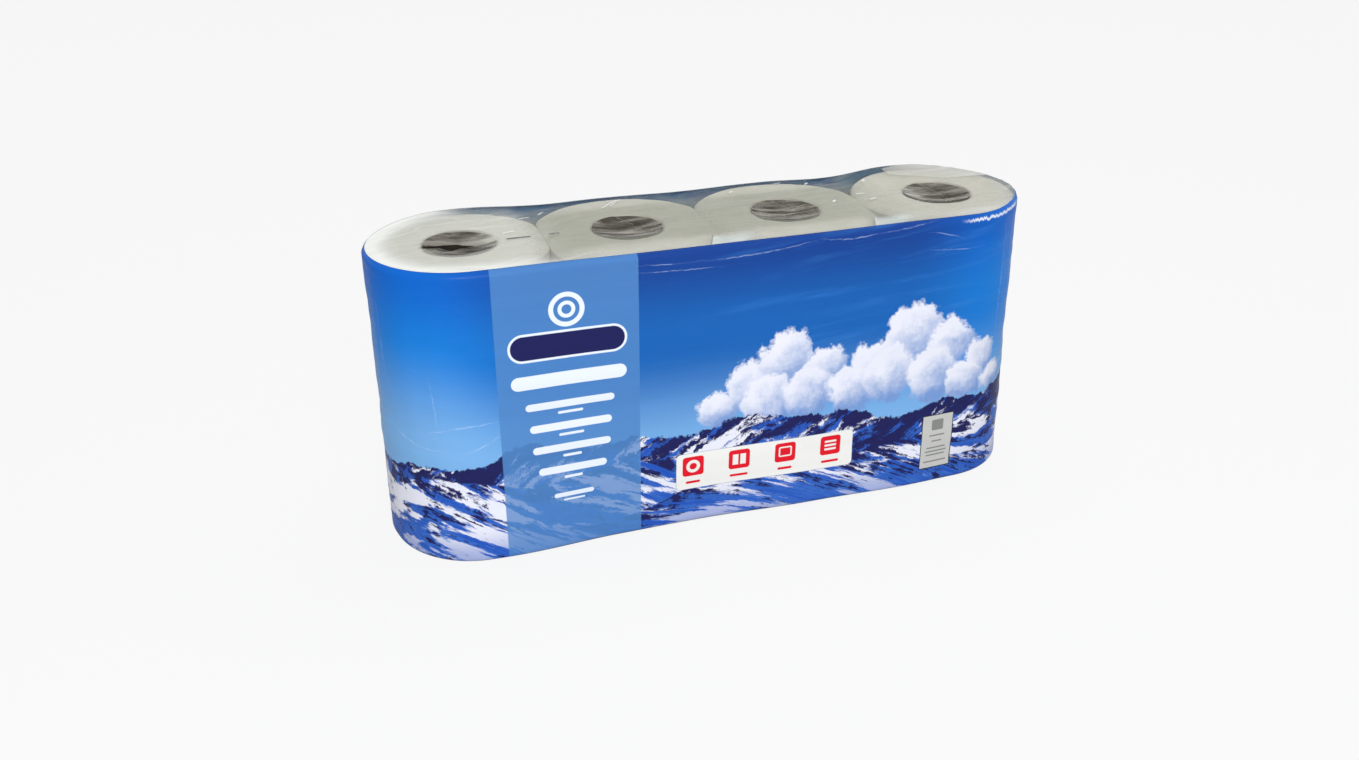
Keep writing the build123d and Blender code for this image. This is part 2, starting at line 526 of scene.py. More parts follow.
def film_inside():
    """The unprinted side of the printed film, where the ink shows dull through it."""
    look = bpy.context.scene.roll_pack.film
    material, graph, surface = new_material("printed film inside")
    place = graph.add("ShaderNodeTexCoord", output="Object")
    clouds = graph.noise(place, 60.0, 4.0)
    colour = graph.blend(graph.between(clouds, 0.35, 0.7), look.inside, srgb(92, 140, 176))
    card_grain = graph.noise(place, 240.0, 3.0)
    bump = graph.add("ShaderNodeBump", None, {"Strength": 0.4, "Distance": 0.001, "Height": card_grain})
    principled(graph, surface, {"Base Color": colour, "Roughness": 0.24, "Normal": bump})
    return material


# Short glints where the clear film is creased, each (start x, start y, end x, end y, half width), in millimetres.
GLINTS = (
    (-133.0, 5.0, -127.0, 6.5, 0.7), (-104.5, 34.0, -101.0, 38.0, 0.5), (-62.0, 33.5, -50.0, 46.0, 0.6),
    (-56.0, 36.0, -47.0, 47.0, 0.6), (-118.0, 29.0, -112.0, 30.5, 0.5), (28.0, 38.0, 30.0, 40.0, 0.9),
    (64.0, 47.0, 68.0, 48.0, 0.7), (84.0, 40.0, 86.0, 42.0, 0.9), (108.0, 9.0, 113.0, 8.5, 0.6),
    (112.0, -5.0, 116.0, -3.5, 0.8), (124.0, 33.0, 126.0, 35.0, 1.0), (86.0, -2.0, 88.0, 0.0, 0.8),
)
# Patches of the film over the holes that are paler than the rest, each (x, y, radius), in millimetres.
PALE_PATCHES = ((-141.0, -2.0, 11.0), (146.0, 3.0, 8.0))
# Corners of the patch where the film is folded double at the right-hand end, each (x, y) in turn, in millimetres.
DOUBLED = ((146.0, 22.0), (183.0, 21.0), (212.0, 6.0), (216.0, 34.0), (176.0, 60.0), (148.0, 52.0))
# The painted shade line at the edge of the painted lit patch at a seam between rolls: how far left of the seam, how it
# slants, half its width.
SEAM_LEFT, SEAM_SLANT, SEAM_HALF = 9.0, 0.42, 0.35


def off_line(x, y, start, end):
    """How far a place lies to the right of the line from start to end."""
    run = (end[0] - start[0], end[1] - start[1])
    return ((x - start[0]) * run[1] - (y - start[1]) * run[0]) / math.hypot(*run)


def glint_marks(graph, x, y):
    """The short glints of GLINTS, as rounded lines."""
    glints = []
    for start_x, start_y, end_x, end_y, half_width in GLINTS:
        run = (end_x - start_x, end_y - start_y)
        length = math.hypot(*run)
        ahead = ((x - start_x) * run[0] + (y - start_y) * run[1]) / length
        beyond = abs(ahead - length / 2) - length / 2
        off = abs(off_line(x, y, (start_x, start_y), (end_x, end_y)))
        glints.append(graph.inside(off.math("MAXIMUM", beyond) - half_width, 0.8))
    return highest(glints)


def cut_marks(graph, x, y):
    """Painted shade along the perforation's cuts: the film is painted nearly black at their lips, standing in for the
    dark seen through them.
    """
    painted_cut_shade = []
    for start, end, half in CUTS:
        middle = (core_middles[0].x + (start + end) / 2) / MM
        ahead = abs(x - middle) - (end - start) / 2 / MM
        widest = graph.between(abs(x - middle), (end - start) * 0.4 / MM, 1.0) * (half / MM - 0.2)
        painted_cut_shade.append(graph.inside(ahead.math("MAXIMUM", 0.0) + abs(y - PERFORATION_Y / MM) - widest - 0.9, 0.5))
    return highest(painted_cut_shade)


def seam_marks(graph, x, y):
    """Painted light and shade at the front of the joins between rolls: pale patches standing in for the lit sides of
    the rolls under the film, and painted shade lines along their edges.
    """
    painted_lit_patches = []
    painted_seam_shade = []
    for groove in groove_x[1:]:
        past = x - (y + 40.0) * SEAM_SLANT - (groove / MM - SEAM_LEFT)
        painted_lit_patches.append(graph.between(past, 0.0, 1.0) * graph.between(past, 36.0, 18.0))
        painted_seam_shade.append(graph.inside(abs(past) - SEAM_HALF, 0.6))
    return highest(painted_lit_patches) * graph.between(y, -34.0, -44.0), highest(painted_seam_shade) * graph.between(y, -34.0, -40.0)


def clear_film():
    """Clear film with a thin milky veil, which is thicker where the film is rucked, doubled or hangs over a core, and
    with painted light and shade laid into it.
    """
    look = bpy.context.scene.roll_pack.film
    material, graph, surface = new_material("clear film")
    place = graph.add("ShaderNodeTexCoord", output="Object")
    parts = graph.split(place)
    x, y = parts[0] / MM, parts[1] / MM
    swirl = (graph.noise(place, 14.0, 2.0) - 0.5) * 0.05
    along = parts[0] + parts[1] * 0.55 + swirl
    across = parts[1] - parts[0] * 0.16 + swirl
    streaks = graph.noise(graph.vector(along * 17.0, across * 150.0, parts[2] * 40.0), 1.0, 5.0, 0.62)
    rucks = graph.noise(graph.vector(along * 9.0, across * 62.0, 3.0), 1.0, 3.0)
    relief = streaks * 0.7 + rucks * 1.6
    bump = graph.add("ShaderNodeBump", None, {"Strength": 0.5, "Distance": 0.001, "Height": relief})
    fresnel = graph.add("ShaderNodeFresnel", None, {"IOR": 1.4, "Normal": bump})

    # Where each kind of mark lies.
    disc_radius = core_radius / MM + 0.6
    hole = highest([graph.inside(disc_distance(x, y, (m.x / MM, m.y / MM), disc_radius), 2.0) for m in core_middles])
    # Painted reflections: over the holes the veil is thickened in streaks and tinted grey-brown, standing in for the
    # light and dark reflections in the film's wrinkles.
    bands = graph.vector(parts[0] * 22.0 + swirl * 20.0, parts[1] * 120.0 + parts[0] * 16.0, 5.0)
    painted_hole_streaks = graph.noise(bands, 1.0, 4.0, 0.6)
    pale = highest([graph.inside(disc_distance(x, y, patch[:2], patch[2]), 14.0) for patch in PALE_PATCHES])
    painted_lit_patches, painted_seam_shade = seam_marks(graph, x, y)
    # Painted shade along the cuts.
    painted_cut_shade = cut_marks(graph, x, y)
    glints = glint_marks(graph, x, y)
    edges = zip(DOUBLED, DOUBLED[1:] + DOUBLED[:1])
    folded = graph.inside(highest([off_line(x, y, start, end) for start, end in edges]), 1.6)
    dull = graph.between(abs(x), 140.0, 90.0) * graph.between(y, -44.0, -30.0) * graph.between(y, 42.0, 26.0)
    front_end = graph.between(y, -30.0, -50.0) * graph.between(x, 120.0, 165.0)
    bright = graph.between(x, -104.0, -130.0) * graph.between(y, 60.0, 34.0)
    bright = bright.math("MAXIMUM", front_end * 0.7)
    # Painted light: the veil whitens towards the outer edge of the top, most towards the left end, standing in for the
    # lit sides of the rolls under the film.
    end_x = (abs(x) - half_row / MM).math("MAXIMUM", 0.0)
    rim = graph.between((end_x * end_x + y * y).math("SQRT"), 33.0, 54.0)
    soft = rim * (graph.between(x, 40.0, -215.0) * 0.42 + graph.between(abs(x), 120.0, 190.0) * 0.16 + 0.1)

    # How much of what lies under it the film covers.
    veil = graph.between(streaks, 0.45, 0.8) * 0.22 + 0.01
    veil = veil + soft * (1.0 - graph.between(y, -6.0, 26.0) * graph.between(abs(x), 172.0, 140.0))
    veil = veil + (1.0 - hole) * (dull * 0.26 + bright * 0.24)
    veil = veil + hole * (0.06 + graph.between(painted_hole_streaks, 0.4, 0.6) * 0.5 + pale * 0.3) + folded * 0.32
    veil = (veil + glints * 0.6 + painted_lit_patches * 0.55).math("MAXIMUM", painted_cut_shade * 0.9).math("MAXIMUM", painted_seam_shade * 0.6)
    cover = (veil + fresnel * 0.35).math("MINIMUM", 0.95)

    # The veil's tone: grey-brown over the holes for the painted reflections there; painted light whitens it towards the
    # rims, in the lit patches at the joins and in the glints; painted shade darkens it along the shade lines at the
    # joins and along the cuts.
    over_hole = graph.blend(pale, srgb(158, 153, 141), srgb(196, 196, 184))
    tone = tuple(look.veil)
    for mark, colour in (
        (soft * 2.0, srgb(250, 252, 248)), (dull, srgb(172, 175, 158)), (bright, srgb(250, 252, 246)),
        (folded * 0.8, srgb(242, 242, 234)), (hole, over_hole), (painted_lit_patches, srgb(222, 232, 230)),
        (painted_seam_shade, srgb(118, 124, 116)), (painted_cut_shade, srgb(20, 20, 18)), (glints, srgb(250, 250, 248)),
    ):
        tone = graph.blend(mark, tone, colour)
    through = graph.add("ShaderNodeBsdfTransparent", None, {"Color": tuple(look.clear)})
    skin = principled(graph, None, {"Base Color": tone, "Roughness": 0.16, "Normal": bump})
    mixed = graph.add("ShaderNodeMixShader", None, {0: cover, 1: through, 2: skin})
    graph.tree.links.new(mixed.socket, surface)
    return material


def clear_film_inside():
    """The inner skin of the clear film, which adds hardly anything to the outer one."""
    look = bpy.context.scene.roll_pack.film
    material, graph, surface = new_material("clear film inside")
    place = graph.add("ShaderNodeTexCoord", output="Object")
    haze = graph.between(graph.noise(place, 80.0, 3.0), 0.3, 0.7) * 0.05
    through = graph.add("ShaderNodeBsdfTransparent", None, {"Color": (1.0, 1.0, 1.0)})
    skin = principled(graph, None, {"Base Color": tuple(look.veil), "Roughness": 0.3})
    mixed = graph.add("ShaderNodeMixShader", None, {0: haze, 1: through, 2: skin})
    graph.tree.links.new(mixed.socket, surface)
    return material


FINE_TURN = 0.00055  # from one turn of the tissue to the next, as its colour shows them


def tissue_paper():
    """Soft crepe tissue: its fine turns at a roll's ends and small embossed dimples round its side."""
    look = bpy.context.scene.roll_pack.rolls
    material, graph, surface = new_material("tissue")
    wound = graph.split(graph.add("ShaderNodeUVMap", {"uv_map": "wound"}))
    place = graph.add("ShaderNodeTexCoord", output="Object")
    turns = (wound[0] * (2 * math.pi / FINE_TURN)).math("SINE")
    fibre = graph.noise(place, 900.0, 4.0, 0.7)
    patch = graph.noise(place, 55.0, 3.0)
    dimples = graph.add("ShaderNodeTexVoronoi", None, {"Vector": place, "Scale": 210.0}, output="Distance")
    colour = graph.blend(graph.between(patch, 0.3, 0.75), tuple(look.tissue), srgb(230, 231, 224))
    colour = graph.blend(graph.between(turns, 0.3, 1.0) * 0.16, colour, srgb(196, 196, 180))
    relief = turns * 0.15 + fibre * 0.6 + dimples * 0.5
    bump = graph.add("ShaderNodeBump", None, {"Strength": 0.5, "Distance": 0.0004, "Height": relief})
    principled(graph, surface, {"Base Color": colour, "Roughness": 0.92, "Normal": bump, "Sheen Weight": 0.2})
    return material


def core_card():
    """Grey-brown recycled card, flecked and mottled."""
    look = bpy.context.scene.roll_pack.rolls
    material, graph, surface = new_material("core card")
    place = graph.add("ShaderNodeTexCoord", output="Object")
    fleck = graph.noise(place, 700.0, 5.0, 0.7)
    cloud = graph.noise(place, 60.0, 3.0)
    colour = graph.blend(graph.between(cloud, 0.3, 0.7), tuple(look.card), srgb(74, 67, 58))
    colour = graph.blend(graph.between(fleck, 0.55, 0.75) * 0.4, colour, srgb(122, 113, 98))
    # Painted shade: the card darkens towards the middle of the pack's height, away from its top and bottom, so the
    # holes look dark further down.
    half = wrap_high.z / 2
    painted_depth_shade = graph.between(abs(graph.split(place)[2] - half), half - 0.004, half - 0.034)
    colour = graph.blend(painted_depth_shade * 0.75, colour, srgb(24, 22, 19))
    bump = graph.add("ShaderNodeBump", None, {"Strength": 0.3, "Distance": 0.0003, "Height": fleck})
    principled(graph, surface, {"Base Color": colour, "Roughness": 0.85, "Normal": bump})
    return material


# ---------------------------------------------------------------------------------------------- film mesh


def film_stations(spacing):
    """Stations round the pack, counter-clockwise from the middle of its back. Each is the x that it is built from,
    the direction in which the film faces there, and how far along the film it is from the middle of the front."""
    straight = round(half_row / spacing)
    cap = round(math.pi * wrap_radius / spacing)
    row = np.linspace(0, half_row, straight + 1)[:-1]
    turn = np.linspace(0, math.pi, cap + 1)[:-1]
    quarter = math.pi / 2
    x = np.concatenate([-row, np.full(cap, -half_row), row - half_row, row, np.full(cap, half_row), half_row - row])
    facing = np.concatenate([
        np.full(straight, quarter), quarter + turn, np.full(2 * straight, -quarter), turn - quarter,
        np.full(straight, quarter),
    ])
    half = perimeter / 2
    lengths = [row - half, turn * wrap_radius + half_row - half, row - half_row, row,
               turn * wrap_radius + half_row, row + half - half_row]
    return x, facing, np.concatenate(lengths)


def bell(x, middle, half_width):
    """A smooth bump 1 high over middle, which ends half_width to each side."""
    t = np.clip((x - middle) / half_width, -1, 1)
    return (1 + np.cos(math.pi * t)) / 2


def rumple(points, grain, seed):
    """Smooth noise from -1 to 1 at each point, with waves about as long as grain along X, Y and Z."""
    flat = (points.reshape(-1, 3) / np.array(grain)) + seed * 7.31
    return np.array([noise.noise(Vector(p)) for p in flat]).reshape(points.shape[:-1])


BACK_SINKS = (0.0030, 0.0026, 0.0068)  # how far the back of the film sinks in at each groove
# Bulges and hollows at the foot of the front, each (x, half its width, rise).
FOOT_BULGES = ((-0.145, 0.065, 0.0034), (-0.032, 0.095, -0.0032), (0.118, 0.06, 0.0026))


def film_swell(x, facing, height):
    """How far the film stands out from the plain wrapper, from its waists, bulges and the joint between the layers."""
    share = height / wrap_high.z
    front = np.clip(-np.sin(facing), 0, 1) ** 2
    back = np.clip(np.sin(facing), 0, 1) ** 2
    swell = -0.0005 * bell(height, wrap_high.z / 2, 0.012) * np.ones_like(x)
    low = (1 - share) ** 1.4
    for groove, back_sink in zip(groove_x, BACK_SINKS):
        near = bell(x, groove, 0.05)
        swell = swell - front * near * 0.0005 - back * near * back_sink * (0.45 + 0.55 * share)
    for middle, half_width, rise in FOOT_BULGES:
        swell = swell + front * bell(x, middle, half_width) * rise * low
    swell = swell + back * bell(np.abs(x), 0.145, 0.06) * 0.0016 * share
    corner = bell(facing, -math.pi / 4, math.pi / 4) * (x >= half_row)
    return swell + corner * (0.0020 - 0.0050 * share)


def film_rows(film):
    """Rows up the film, from the bottom's centre line to the top's: radius, height, length up the side, and part."""
    rings = round((wrap_radius - film.rim) / (film.spacing * 0.72))
    inward = (np.linspace(0, 1, rings + 1) ** 1.15 * (wrap_radius - film.rim))[:-1]
    bends = np.linspace(0, math.pi / 2, 5)
    upright = np.linspace(film.rim, wrap_high.z - film.rim, round(wrap_high.z / film.spacing) + 1)[1:-1]
    radius = [inward, wrap_radius - film.rim + film.rim * np.sin(bends), np.full(len(upright), wrap_radius)]
    radius += [wrap_radius - film.rim + film.rim * np.cos(bends), inward[::-1]]
    height = [np.zeros(rings), film.rim * (1 - np.cos(bends)), upright]
    height += [wrap_high.z - film.rim + film.rim * np.sin(bends), np.full(rings, wrap_high.z)]
    length = [np.zeros(rings), film.rim * (bends - math.pi / 2 + 1), upright]
    length += [wrap_high.z - film.rim + film.rim * bends, np.full(rings, wrap_high.z)]
    first_print = rings + 2
    last_print = rings + 5 + len(upright) + 3
    return np.concatenate(radius), np.concatenate(height), np.concatenate(length), first_print, last_print


def cut_gape(x):
    """Half the width by which the perforation is open along the pack."""
    gape = np.zeros_like(x)
    for start, end, half in CUTS:
        t = np.clip((x - core_middles[0].x - start) / (end - start), 0, 1)
        gape = np.maximum(gape, half * np.interp(t, *zip(*CUT_SHAPE)))
    return gape


def top_relief(points, radius, ends_only):
    """How far the clear film over a layer of roll ends lies below its highest plane."""
    x, y = points[..., 0], points[..., 1]
    share = radius / wrap_radius
    sink = 0.0005 * np.clip((share - 0.72) / 0.28, 0, 1) ** 1.6
    for middle in core_middles:
        reach = np.hypot(x - middle.x, y - middle.y) / core_radius
        hole = np.clip(1 - reach ** 2, 0, 1)
        sink = sink + bpy.context.scene.roll_pack.film.hole_sag * hole
        ruck = rumple(np.stack([x + 0.4 * y, y - 0.12 * x, 0 * x], -1), (0.020, 0.0034, 1.0), 3)
        sink = sink + 0.0010 * hole ** 0.5 * (0.5 + ruck)
    for groove in groove_x:
        cusp = bell(x, groove, 0.022) * np.clip((np.abs(y) - 0.022) / 0.034, 0, 1)
        sink = sink + 0.0022 * cusp
    drift = rumple(np.stack([x + 0.5 * y, y - 0.15 * x, 0 * x], -1), (0.060, 0.0085, 1.0), 1)
    sink = sink + 0.00035 * (0.6 + drift)
    if not ends_only:
        first = core_middles[0]
        spoke = np.arctan2(y - PERFORATION_Y, x - first.x)
        reach = np.hypot(x - first.x, y - PERFORATION_Y)
        pull = bell(reach, 0.026, 0.028)
        wander = rumple(np.stack([np.cos(spoke), np.sin(spoke), reach * 9], -1), (0.2, 0.2, 1.0), 4)
        sink = sink + 0.00014 * pull * (1 + wander)
        lips = bell(x, first.x - 0.008, 0.02) * bell(y, PERFORATION_Y, 0.010)
        sink = sink - 0.0016 * lips
    return sink


def film_surface(film):
    """The whole wrapper as one grid of points, with the length round it and up it for each."""
    x, facing, around = film_stations(film.spacing)
    radius, height, length, first_print, last_print = film_rows(film)
    x, facing = np.broadcast_to(x, (len(radius), len(x))), np.broadcast_to(facing, (len(radius), len(facing)))
    radius, height = radius[:, None], height[:, None]
    share = radius / wrap_radius
    swell = film_swell(x, facing, height) * share ** 3
    middle_y = lean * (1 - 2 * bell(x, 0, half_row * 1.2)) * share + PERFORATION_Y * (1 - share)
    spine_x = x + film.spine_reach * np.cos(facing) * (1 - share)
    reach = radius + swell
    lip = np.sign(np.round(np.sin(facing), 6))
    gape = cut_gape(spine_x) * (height > wrap_high.z / 2) * lip * (1 - share) ** 6
    points = np.stack([spine_x + reach * np.cos(facing), middle_y + gape + reach * np.sin(facing), height + 0 * x], -1)
    outward = np.stack([np.cos(facing), np.sin(facing), 0 * x], -1)
    side = np.clip((share - 0.985) / 0.015, 0, 1) * (1 - bell(height, 0, 0.004))
    side = side * (1 - 0.7 * bell(height, wrap_high.z, 0.004))
    tension = rumple(points, (0.085, 0.085, 0.0075), 5)
    slack = rumple(points, (0.040, 0.040, 0.030), 6)
    near_ends = np.clip((np.abs(points[..., 0]) - 0.165) / 0.03, 0, 1)
    upright = rumple(points, (0.0085, 0.0085, 0.11), 8) * near_ends
    points += outward * (side * (0.0009 + 0.00035 * tension + 0.0006 * slack + 0.00028 * upright))[..., None]
    gather = rumple(points, (0.0042, 0.0042, 0.05), 9) * bell(points[..., 0], wrap_high.x, 0.055)
    rim = bell(height, wrap_high.z, 0.007) * np.clip((share - 0.86) / 0.14, 0, 1)
    points += outward * (0.0007 * rim * gather)[..., None]
    flat = np.clip((0.955 - share) / 0.03, 0, 1)
    upper = height > wrap_high.z / 2
    top_sink = top_relief(points, radius, False)
    base_sink = top_relief(points, radius, True)
    points[..., 2] += np.where(upper, -top_sink, base_sink * 0.6) * flat
    points[..., 2] += 0.0004 * rim * gather * upper
    raised = bell(np.abs(points[..., 0]), 0.155, 0.075) * np.clip(points[..., 1] / 0.055, 0, 1) ** 2
    points[..., 2] += 0.0018 * raised * bell(height, wrap_high.z, 0.012) * upper
    return points, around, length, first_print, last_print


def grid_object(name, points, around, length, materials):
    """A closed band of film between two rows of its grid, with its UV map, its doubles merged."""
    rows, columns = points.shape[:2]
    index = np.arange(rows * columns).reshape(rows, columns)
    following = np.roll(index, -1, axis=1)
    quads = np.stack([index[:-1], following[:-1], following[1:], index[1:]], -1).reshape(-1, 4)
    mesh = bpy.data.meshes.new(name)
    mesh.from_pydata(points.reshape(-1, 3).tolist(), [], quads.tolist())
    layer = mesh.uv_layers.new(name="around")
    u_start = np.broadcast_to(around, (rows - 1, columns))
    u_end = np.broadcast_to(np.append(around[1:], around[0] + perimeter), (rows - 1, columns))
    v_low = np.broadcast_to(length[:-1, None], (rows - 1, columns))
    v_high = np.broadcast_to(length[1:, None], (rows - 1, columns))
    uv = np.stack([u_start, v_low, u_end, v_low, u_end, v_high, u_start, v_high], -1)
    layer.data.foreach_set("uv", uv.reshape(-1).astype(np.float32))
    for material in materials:
        mesh.materials.append(material)
    edit = bmesh.new()
    edit.from_mesh(mesh)
    bmesh.ops.remove_doubles(edit, verts=edit.verts, dist=2e-6)
    bmesh.ops.dissolve_degenerate(edit, edges=edit.edges, dist=1e-7)
    edit.to_mesh(mesh)
    edit.free()
    mesh.shade_smooth()
    piece = bpy.data.objects.new(name, mesh)
    bpy.context.scene.collection.objects.link(piece)
    return piece


def thicken(piece, thickness):
    """Gives a film its thickness, inwards, and its inner skin the second material."""
    solidify = piece.modifiers.new("film thickness", "SOLIDIFY")
    solidify.thickness = thickness
    solidify.offset = -1
    solidify.material_offset = 1


def settle(piece, node):
    """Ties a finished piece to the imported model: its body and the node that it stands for."""
    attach(piece, BODY)
    if node:
        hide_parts(node)
    return piece


def tuck_in(piece):
    """Presses a roll's side in where the wrapper's waists would cut into it."""
    mesh = piece.data
    flat = np.empty(len(mesh.vertices) * 3)
    mesh.vertices.foreach_get("co", flat)
    points = flat.reshape(-1, 3)
    x = np.clip(points[:, 0], -half_row, half_row)
    middle_y = lean * (1 - 2 * bell(x, 0, half_row * 1.2))
    across = np.hypot(points[:, 0] - x, points[:, 1] - middle_y)
    facing = np.arctan2(points[:, 1] - middle_y, points[:, 0] - x)
    limit = wrap_radius + film_swell(x, facing, points[:, 2]) - FILM_CLEARANCE
    shrink = np.minimum(limit / np.maximum(across, 1e-6), 1)
    points[:, 0] = x + (points[:, 0] - x) * shrink
    points[:, 1] = middle_y + (points[:, 1] - middle_y) * shrink
    mesh.vertices.foreach_set("co", points.reshape(-1))
    mesh.update()


# ---------------------------------------------------------------------------------------------- geometry nodes

TOP_GAP = 0.0004  # how far the tissue lies under the film over it
CORE_RECESS = 0.001  # how far a core ends below the upper end of its roll


def geometry_tree(name, sizes):
    """A new geometry tree with named inputs, its graph and a term for each input."""
    tree = bpy.data.node_groups.new(name, "GeometryNodeTree")
    for label, value in sizes.items():
        kind = {"int": "NodeSocketInt", "Material": "NodeSocketMaterial"}.get(type(value).__name__, "NodeSocketFloat")
        tree.interface.new_socket(label, in_out="INPUT", socket_type=kind)
    tree.interface.new_socket("Geometry", in_out="OUTPUT", socket_type="NodeSocketGeometry")
    graph = Graph(tree)
    entry = graph.node("NodeGroupInput")
    return tree, graph, {label: Term(graph, entry.outputs[label]) for label in sizes}


def finish_tree(graph, geometry, material):
    """Ends a geometry tree in Realize Instances and Set Material."""
    real = graph.add("GeometryNodeRealizeInstances", None, {"Geometry": geometry})
    dressed = graph.add("GeometryNodeSetMaterial", None, {"Geometry": real, "Material": material})
    out = graph.node("NodeGroupOutput")
    graph.tree.links.new(dressed.socket, out.inputs["Geometry"])


def grow(name, tree, sizes):
    """Runs a geometry tree with these sizes and turns its result into a plain mesh object."""
    source = bpy.data.objects.new(name + " source", bpy.data.meshes.new(name))
    bpy.context.scene.collection.objects.link(source)
    modifier = source.modifiers.new("nodes", "NODES")
    modifier.node_group = tree
    for item in tree.interface.items_tree:
        if item.in_out == "INPUT":
            modifier[item.identifier] = sizes[item.name]
    bpy.context.view_layer.update()
    evaluated = source.evaluated_get(bpy.context.evaluated_depsgraph_get())
    mesh = bpy.data.meshes.new_from_object(evaluated)
    bpy.data.objects.remove(source)
    mesh.name = name
    piece = bpy.data.objects.new(name, mesh)
    bpy.context.scene.collection.objects.link(piece)
    return piece


def field_point(graph):
    return graph.split(graph.add("GeometryNodeInputPosition"))


def wound_roll_tree(sizes):
    """A wound roll: a ring swept round its core and pressed to its outline, its turns standing out in a spiral."""
    tree, graph, size = geometry_tree("wound roll", sizes)
    wall = size["Free radius"] - size["Bore radius"]
    section = graph.add("GeometryNodeCurvePrimitiveQuadrilateral", None, {0: wall, 1: size["Width"]})
    rounded = graph.add(
        "GeometryNodeFilletCurve", {"mode": "POLY"}, {"Curve": section, "Radius": size["Rim"], "Count": 4},
    )
    spacing = size["Turn spacing"] / 2
    fine = graph.add("GeometryNodeResampleCurve", {"mode": "LENGTH"}, {"Curve": rounded, "Length": spacing})
    ring_radius = (size["Free radius"] + size["Bore radius"]) / 2
    ring = graph.add(
        "GeometryNodeCurvePrimitiveCircle", None, {"Resolution": size["Steps round"], "Radius": ring_radius},
    )
    swept = graph.add("GeometryNodeCurveToMesh", None, {"Curve": ring, "Profile Curve": fine})
    x, y, z = field_point(graph)
    radius = (x * x + y * y).math("SQRT")
    angle = y.math("ARCTAN2", x)
    cosine, sine = x / radius, y / radius

    def reach(limit, lean_towards):
        return limit / lean_towards.math("MAXIMUM", 0.02)

    shift = size["Wrap shift"]
    wrap = size["Wrap radius"]
    round_end = sine * shift + (wrap * wrap - cosine * cosine * shift * shift).math("SQRT")
    limit = size["Free radius"]
    for label, towards in (("Left", -cosine), ("Right", cosine), ("Front", -sine), ("Back", sine)):
        limit = graph.math("SMOOTH_MIN", limit, reach(size[label], towards), 0.006)
    limit = graph.math("SMOOTH_MIN", limit, round_end + size["Inner stack"], 0.002)
    share = ((radius - size["Bore radius"]) / wall).math("MAXIMUM", 0.0)
    waver = graph.noise(graph.vector(x * 40.0, y * 40.0, size["Seed"] * 3.7), 1.0, 2.0) - 0.5
    pressed = size["Bore radius"] + share * (limit - size["Bore radius"])
    spiral = (radius / size["Turn spacing"] + angle * (0.5 / math.pi) + waver * 1.5).math("FRACT")
    edge = (z / (size["Width"] / 2)).math("SIGN")
    near_end = graph.between(abs(z), size["Width"] / 2 - 0.004, size["Width"] / 2 - 0.001)
    frontward = graph.between(sine, 0.3, -0.6) * 0.75 + 0.25
    fall = graph.between(share, 0.58, 1.1) * frontward * size["Shoulder"]
    fall = fall + spiral * size["Turn relief"] + abs(waver) * 0.0009
    high = z - edge * near_end * fall - near_end * edge.math("MAXIMUM", 0.0) * TOP_GAP
    dent = 1.0 + waver * 0.006
    moved = graph.vector(
        pressed * cosine * dent + size["Core X"], pressed * sine * dent + size["Core Y"], high + size["Middle height"],
    )
    uv = graph.vector(radius + angle * (FINE_TURN / (2 * math.pi)), z, 0.0)
    mapped = graph.add(
        "GeometryNodeStoreNamedAttribute", {"data_type": "FLOAT2", "domain": "CORNER"},
        {"Geometry": swept, "Name": "wound", "Value": uv},
    )
    shaped = graph.add("GeometryNodeSetPosition", None, {"Geometry": mapped, "Position": moved})
    smooth = graph.add("GeometryNodeSetShadeSmooth", None, {"Geometry": shaped})
    finish_tree(graph, smooth, size["Tissue"])
    return tree


def card_core_tree(sizes):
    """A spiral-wound card tube: one strip that climbs round the core, edge to edge, and is cut square at both ends."""
    tree, graph, size = geometry_tree("card core", sizes)
    turns = size["Width"] / size["Lead"] + 2.0
    strip = graph.add(
        "GeometryNodeMeshGrid", None,
        {"Size X": turns, "Size Y": size["Lead"] * 0.992, "Vertices X": size["Steps round"], "Vertices Y": 14},
    )
    x, y, _ = field_point(graph)
    angle = x * (2 * math.pi)
    high = x * size["Lead"] + y
    half = size["Width"] / 2
    cut = high.math("MAXIMUM", -half).math("MINIMUM", half - CORE_RECESS)
    seam = graph.between(abs(y), size["Lead"] * 0.47, size["Lead"] * 0.496) * 0.00012
    radius = size["Radius"] - seam
    moved = graph.vector(
        radius * angle.math("COSINE") + size["Core X"], radius * angle.math("SINE") + size["Core Y"],
        cut + size["Middle height"],
    )
    wound = graph.add("GeometryNodeSetPosition", None, {"Geometry": strip, "Position": moved})
    area = graph.add("GeometryNodeInputMeshFaceArea")
    cut_off = area.math("LESS_THAN", 1e-12)
    kept = graph.add("GeometryNodeDeleteGeometry", {"domain": "FACE"}, {"Geometry": wound, "Selection": cut_off})
    merged = graph.add("GeometryNodeMergeByDistance", None, {"Geometry": kept, "Distance": 0.00001})
    smooth = graph.add("GeometryNodeSetShadeSmooth", None, {"Geometry": merged})
    finish_tree(graph, smooth, size["Card"])
    return tree


# ---------------------------------------------------------------------------------------------- operators


class PackOperator:
    """What every operator here shares."""

    bl_options = {"REGISTER", "UNDO"}


